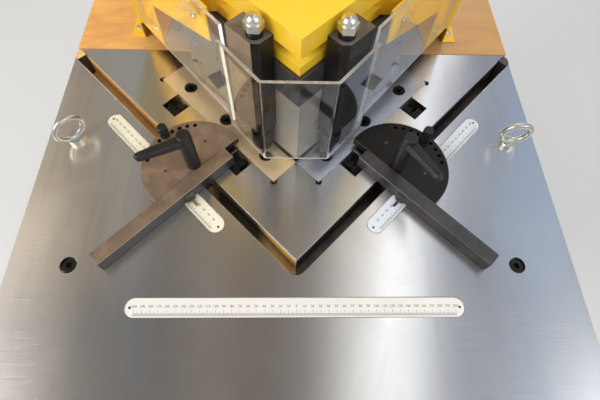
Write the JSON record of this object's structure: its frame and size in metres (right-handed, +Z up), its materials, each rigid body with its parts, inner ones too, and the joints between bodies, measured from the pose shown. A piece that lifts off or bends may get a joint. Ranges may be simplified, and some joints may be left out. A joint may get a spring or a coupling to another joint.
{
  "type": "hydraulic notching machine",
  "caption": "Floor-standing hydraulic corner notcher: steel table with V slot and scales, two swivelling angle stops, guarded V knives under a yellow head, and a scrap drawer.",
  "frame": {"origin": "on the floor, under the middle of the table's outline", "axes": "+Z up, +X to the operator's right, +Y away from the operator"},
  "size_m": [0.74, 0.89, 1.33],
  "materials": {
    "ground_steel": "ground, faint straight grain",
    "tool_steel": "ground tool steel",
    "yellow_paint": "smooth satin enamel",
    "tan_paint": "satin enamel",
    "grey_paint": "fine textured enamel",
    "black_oxide": "blackened steel, slightly oily",
    "dark_steel": "dark machined steel",
    "machine_frame": "primer grey",
    "bright_plate": "bright zinc",
    "clear_guard": "clear polycarbonate with bright edges",
    "scale_white": "printed matt scale",
    "black_plastic": "fine grained",
    "red_plastic": "moulded",
    "green_plastic": "moulded",
    "rubber_foot": "matt"
  },
  "bodies": {
    "frame": {"table_plate_front": "ground_steel", "table_plate_inner": "ground_steel", "rear_deck": "tan_paint", "slot_rails": "dark_steel", "front_scale": "scale_white", "angle_scales": "scale_white", "eyebolts": "bright_plate", "socket_bolts": "black_oxide", "die_blade_left": "tool_steel", "die_blade_right": "tool_steel", "die_screws": "black_oxide", "die_jacks": "black_oxide", "die_bed": "dark_steel", "frame_plate_left": "machine_frame", "frame_plate_right": "machine_frame", "frame_ties": "machine_frame", "cylinder_body": "dark_steel", "guide_bushes": "dark_steel", "hood": "yellow_paint", "housing_left": "yellow_paint", "housing_right": "yellow_paint", "rear_cover": "yellow_paint", "pane_left": "clear_guard", "pane_right": "clear_guard", "front_guard": "clear_guard", "guard_screws": "bright_plate", "oil_tank": "grey_paint", "pump_motor": "grey_paint", "pump_and_valve": "dark_steel", "hydraulic_pipes": "bright_plate", "control_box": "grey_paint", "base_frame": "machine_frame", "side_panels": "grey_paint", "front_panel": "grey_paint", "rear_panel": "grey_paint", "levelling_feet": "rubber_foot"},
    "ram": {"ram_head": "yellow_paint", "knife_holder": "dark_steel", "knife_left": "tool_steel", "knife_right": "tool_steel", "knife_screws": "black_oxide", "piston_rod": "bright_plate", "guide_rods": "bright_plate", "hold_down_blocks": "black_oxide"},
    "hold_down_left": {"hold_down_left": "black_oxide"},
    "stop_left": {"stop_carriage_left": "dark_steel"},
    "fence_left": {"fence_left": "dark_steel", "protractor_left": "black_oxide"},
    "lever_left": {"clamp_lever_left": "black_plastic"},
    "pin_left": {"index_pin_left": "black_plastic"},
    "hold_down_right": {"hold_down_right": "black_oxide"},
    "stop_right": {"stop_carriage_right": "dark_steel"},
    "fence_right": {"fence_right": "dark_steel", "protractor_right": "black_oxide"},
    "lever_right": {"clamp_lever_right": "black_plastic"},
    "pin_right": {"index_pin_right": "black_plastic"},
    "drawer": {"scrap_drawer": "grey_paint"},
    "stop_button": {"stop_button": "red_plastic"},
    "start_button": {"start_button": "green_plastic"},
    "main_switch": {"main_switch": "black_plastic"}
  },
  "joints": [
    {"name": "ram_stroke", "type": "slide", "parent": "frame", "child": "ram", "axis": [0, 0, 1], "range_m": [-0.022, 0]},
    {"name": "hold_down_left_slide", "type": "slide", "parent": "ram", "child": "hold_down_left", "axis": [0, 0, 1], "range_m": [0, 0.0125]},
    {"name": "stop_left_slide", "type": "slide", "parent": "frame", "child": "stop_left", "axis": [-0.7071, 0.7071, 0], "range_m": [-0.06, 0.14]},
    {"name": "fence_left_swivel", "type": "hinge", "parent": "stop_left", "child": "fence_left", "pos_m": [-0.14428, -0.13102, 0.91], "axis": [0, 0, 1], "range_deg": [-40, 40]},
    {"name": "lever_left_turn", "type": "hinge", "parent": "stop_left", "child": "lever_left", "pos_m": [-0.14428, -0.13102, 0.96], "axis": [0, 0, 1], "range_deg": [-60, 60]},
    {"name": "pin_left_lift", "type": "slide", "parent": "fence_left", "child": "pin_left", "axis": [0, 0, 1], "range_m": [0, 0.012], "stiffness_N_per_m": 200},
    {"name": "hold_down_right_slide", "type": "slide", "parent": "ram", "child": "hold_down_right", "axis": [0, 0, 1], "range_m": [0, 0.0125]},
    {"name": "stop_right_slide", "type": "slide", "parent": "frame", "child": "stop_right", "axis": [0.7071, 0.7071, 0], "range_m": [-0.06, 0.14]},
    {"name": "fence_right_swivel", "type": "hinge", "parent": "stop_right", "child": "fence_right", "pos_m": [0.14428, -0.13102, 0.91], "axis": [0, 0, -1], "range_deg": [-40, 40]},
    {"name": "lever_right_turn", "type": "hinge", "parent": "stop_right", "child": "lever_right", "pos_m": [0.14428, -0.13102, 0.96], "axis": [0, 0, 1], "range_deg": [-60, 60]},
    {"name": "pin_right_lift", "type": "slide", "parent": "fence_right", "child": "pin_right", "axis": [0, 0, 1], "range_m": [0, 0.012], "stiffness_N_per_m": 200},
    {"name": "drawer_slide", "type": "slide", "parent": "frame", "child": "drawer", "axis": [0, -1, 0], "range_m": [0, 0.35]},
    {"name": "stop_button_press", "type": "slide", "parent": "frame", "child": "stop_button", "axis": [0, 1, 0], "range_m": [0, 0.004]},
    {"name": "start_button_press", "type": "slide", "parent": "frame", "child": "start_button", "axis": [0, 1, 0], "range_m": [0, 0.003], "stiffness_N_per_m": 400},
    {"name": "main_switch_turn", "type": "hinge", "parent": "frame", "child": "main_switch", "pos_m": [0.07, -0.415, 0.773], "axis": [0, -1, 0], "range_deg": [-90, 0]}
  ],
  "couplings": [
    {"joint": "hold_down_left_slide", "follows": "ram_stroke", "ratio": -0.568},
    {"joint": "hold_down_right_slide", "follows": "ram_stroke", "ratio": -0.568}
  ]
}
